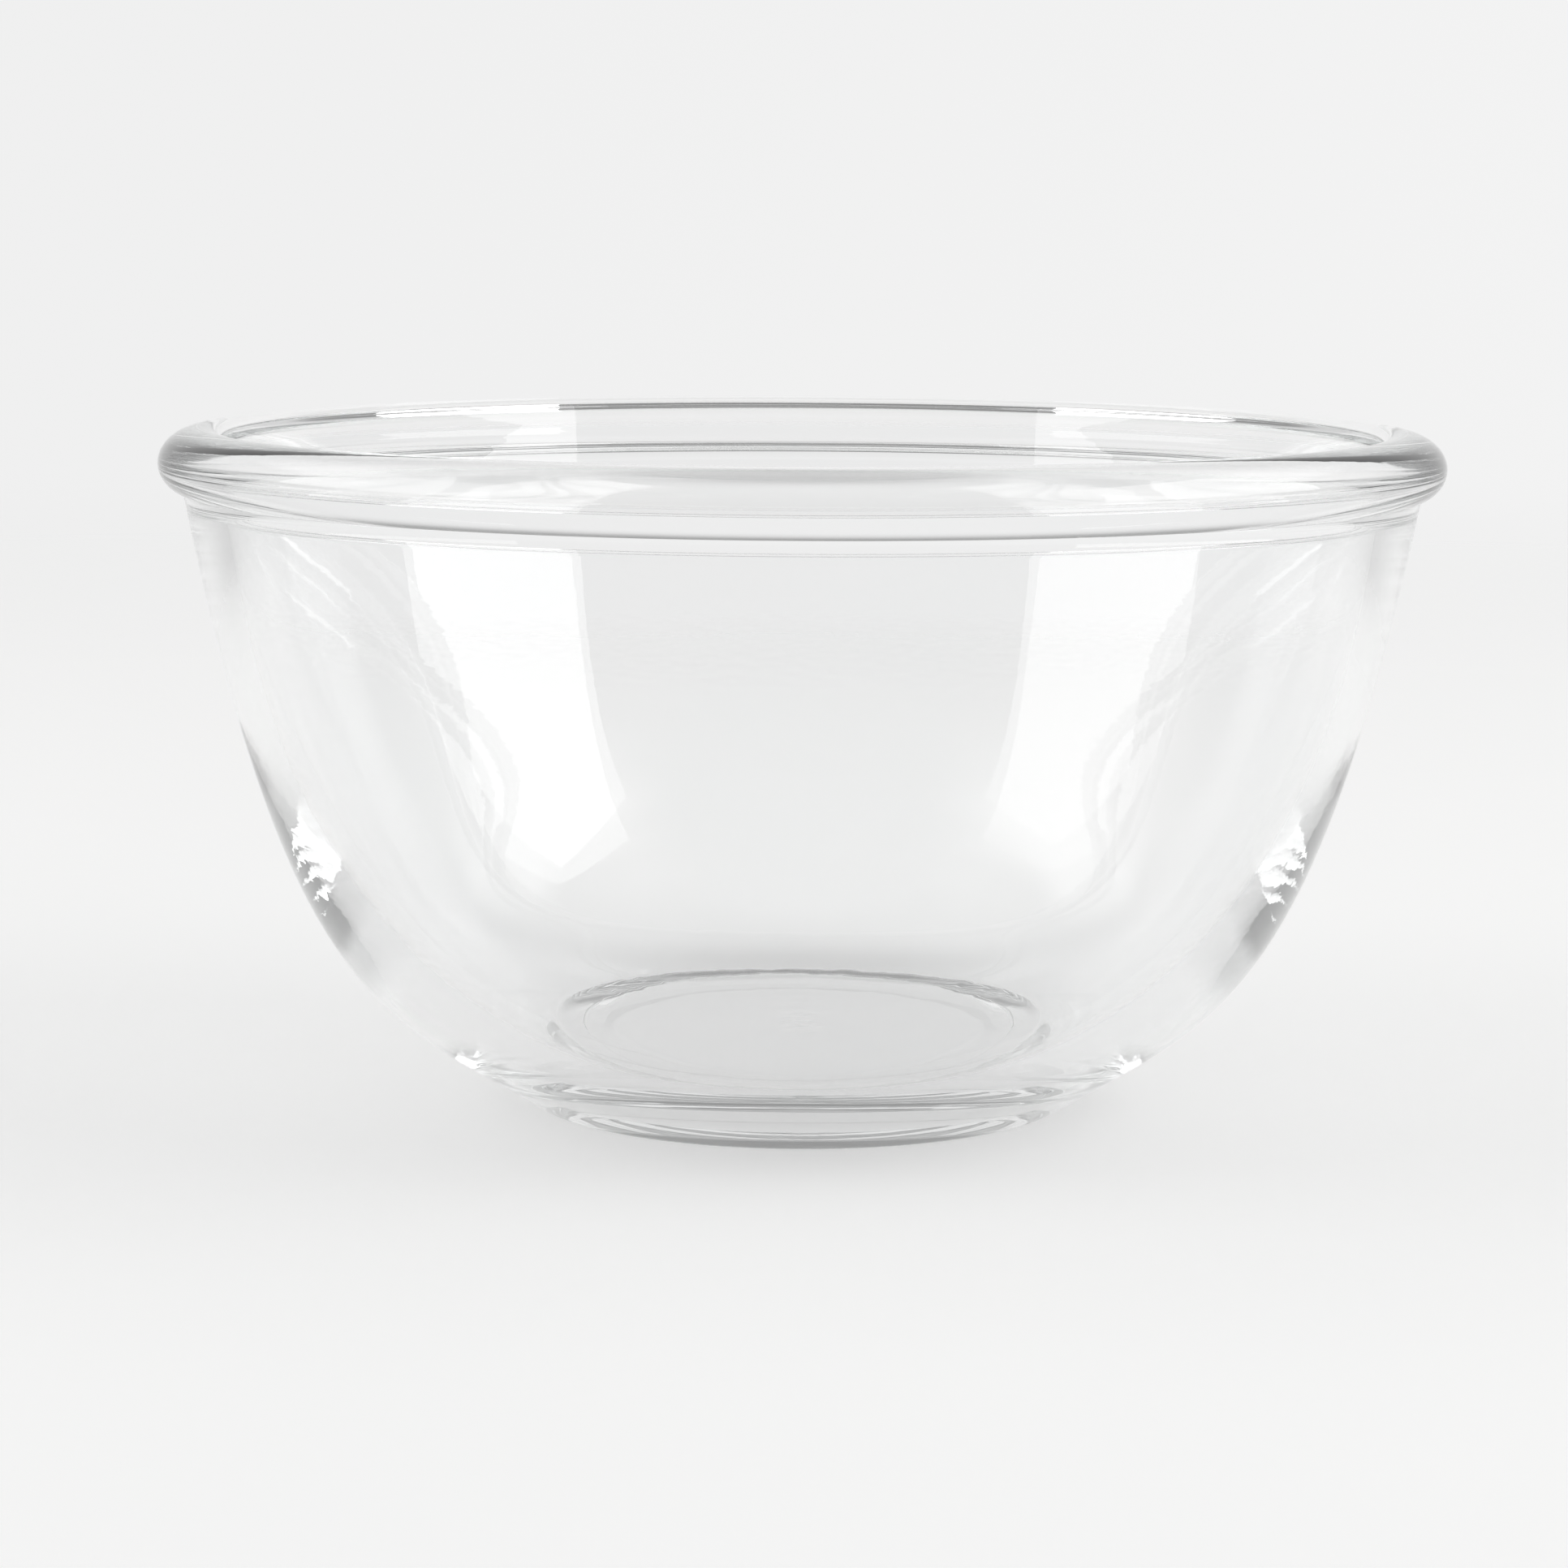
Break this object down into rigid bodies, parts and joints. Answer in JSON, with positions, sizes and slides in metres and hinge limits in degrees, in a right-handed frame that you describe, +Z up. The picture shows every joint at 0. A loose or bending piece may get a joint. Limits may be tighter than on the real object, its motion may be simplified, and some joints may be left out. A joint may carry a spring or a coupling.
{
  "type": "glass mixing bowl",
  "caption": "Round clear pressed-glass bowl: curved wall narrowing to a small flat foot, with a thick rounded bead standing out round the rim.",
  "frame": {"origin": "on the table, at the middle of the foot, on the bowl's axis", "axes": "+Z up along the bowl's axis; the bowl is round, so +X and +Y are any two level directions at right angles"},
  "size_m": [0.21, 0.21, 0.1114],
  "materials": {
    "clear_glass": "clear, fire-polished"
  },
  "bodies": {
    "root": {"bowl": "clear_glass"}
  },
  "joints": []
}
